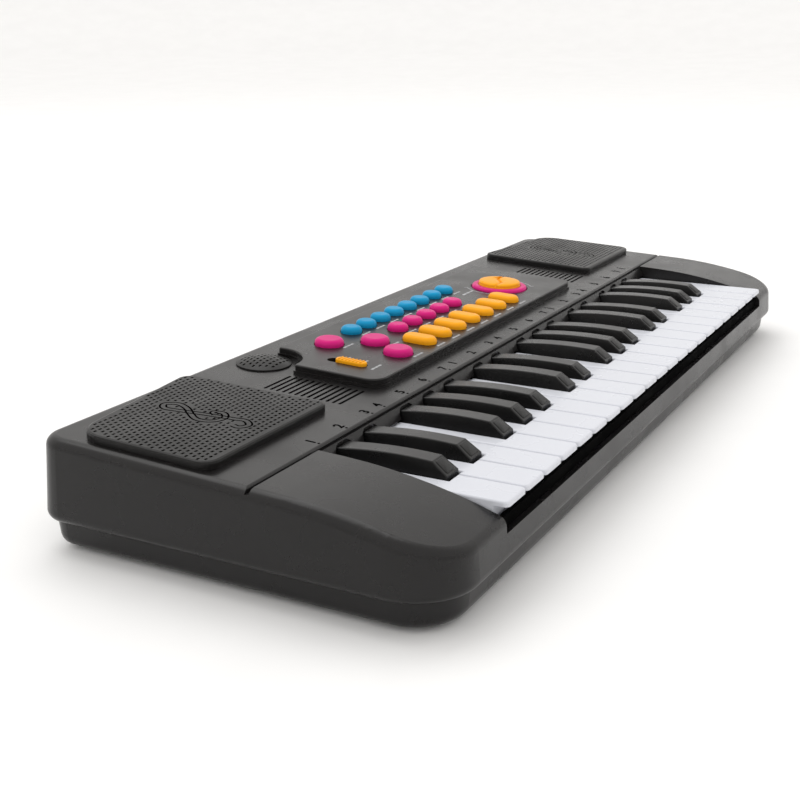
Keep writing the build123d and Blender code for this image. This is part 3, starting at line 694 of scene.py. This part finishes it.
def make_slider_ribs():
    """Grip ribs across the power slider, and a near-black plate under its slot: painted shade seen through
    the slot.
    """
    x, y = SLIDER_CENTRE
    bm = bmesh.new()
    for i in range(RIB_COUNT):
        prism(bm, box_outline(x, y + RIB_FIRST_Y + RIB_PITCH * i, *RIB_HALF), *RIB_LEVELS)
    piece("slider_ribs", from_bmesh("slider_ribs", bm), YELLOW, "power_slider_body")
    # A near-black plate under the slot: painted shade
    bm = bmesh.new()
    prism(bm, box_outline(x, y + SLOT_FLOOR_Y, *SLOT_FLOOR_HALF), *SLOT_FLOOR_LEVELS)
    piece("slider_shade_plate", from_bmesh("slider_shade_plate", bm), PAINTED_SHADE)


def make_key_shade_band():
    """A near-black strip on the wall under the white keys' lips, and on the ledge before it: painted shade.
    """
    bm = bmesh.new()
    rings = []
    for x in (-BAND_HALF, BAND_HALF):
        places = [Vector((x, BAND_FRONT + y - MIDDLE_Y, z)) * MM for y, z in BAND_PROFILE]
        rings.append([bm.verts.new(place) for place in places])
    skin(bm, rings)
    # The strip gets the painted-shade black
    piece("key_shade_band", from_bmesh("key_shade_band", bm), PAINTED_SHADE, smooth=False)


make_digits()
make_grille(-1, "left_speaker_grille")
make_grille(1, "right_speaker_grille")
make_mic_dome()
make_labels()
make_rocker()
make_key_noses()
make_slider_ribs()
make_key_shade_band()


# Camera, light and floor

def set_camera():
    """The view of the photograph: place, direction and roll."""
    azimuth, elevation = math.radians(CAMERA_AZIMUTH), math.radians(CAMERA_ELEVATION)
    roll = math.radians(CAMERA_ROLL)
    forward = Vector((-math.sin(azimuth) * math.cos(elevation),
                      math.cos(azimuth) * math.cos(elevation), -math.sin(elevation)))
    right = forward.cross(Vector((0, 0, 1))).normalized()
    up = right.cross(forward)
    turned_right = right * math.cos(roll) + up * math.sin(roll)
    turned_up = up * math.cos(roll) - right * math.sin(roll)
    data = bpy.data.cameras.new("camera")
    data.lens = CAMERA_LENS
    data.sensor_width = 36.0
    data.clip_start = 0.01
    camera = bpy.data.objects.new("camera", data)
    axes = Matrix((turned_right, turned_up, -forward)).transposed().to_4x4()
    camera.matrix_world = Matrix.Translation(CAMERA_PLACE) @ axes
    bpy.context.scene.collection.objects.link(camera)
    bpy.context.scene.camera = camera


def area_light(name, place, target, size, power):
    """A rectangular lamp aimed at a point, which the camera doesn't see."""
    data = bpy.data.lights.new(name, "AREA")
    data.shape = "RECTANGLE"
    data.size, data.size_y = size
    data.energy = power
    light = bpy.data.objects.new(name, data)
    light.location = place
    light.rotation_euler = (Vector(target) - Vector(place)).to_track_quat("-Z", "Y").to_euler()
    light.visible_camera = False
    bpy.context.scene.collection.objects.link(light)


def set_stage():
    """A pale floor that curves up into a backdrop, even light all round and one soft lamp."""
    bm = bmesh.new()
    rings = []
    for radius, z in FLOOR_PROFILE:
        rings.append([bm.verts.new((x, y, z)) for x, y in circle((0, 0), radius, FLOOR_SIDES)])
    bm.faces.new(rings[0])
    join_rings(bm, rings)
    mesh = from_bmesh("floor", bm)
    floor = bpy.data.objects.new("floor", mesh)
    bpy.context.scene.collection.objects.link(floor)
    for face in mesh.polygons:
        face.use_smooth = True
    mesh.materials.append(plastic("floor_white", (FLOOR_WHITE,) * 3, 0.7, variation=0.01, wear=0.0))
    world = bpy.data.worlds.new("studio")
    world.use_nodes = True
    background = world.node_tree.nodes["Background"]
    background.inputs["Color"].default_value = WORLD_COLOR
    background.inputs["Strength"].default_value = WORLD_STRENGTH
    bpy.context.scene.world = world
    area_light("key", LAMP_PLACE, (0, 0, 0), LAMP_SIZE, LAMP_POWER)


set_camera()
set_stage()
bpy.context.scene.view_settings.view_transform = "Standard"
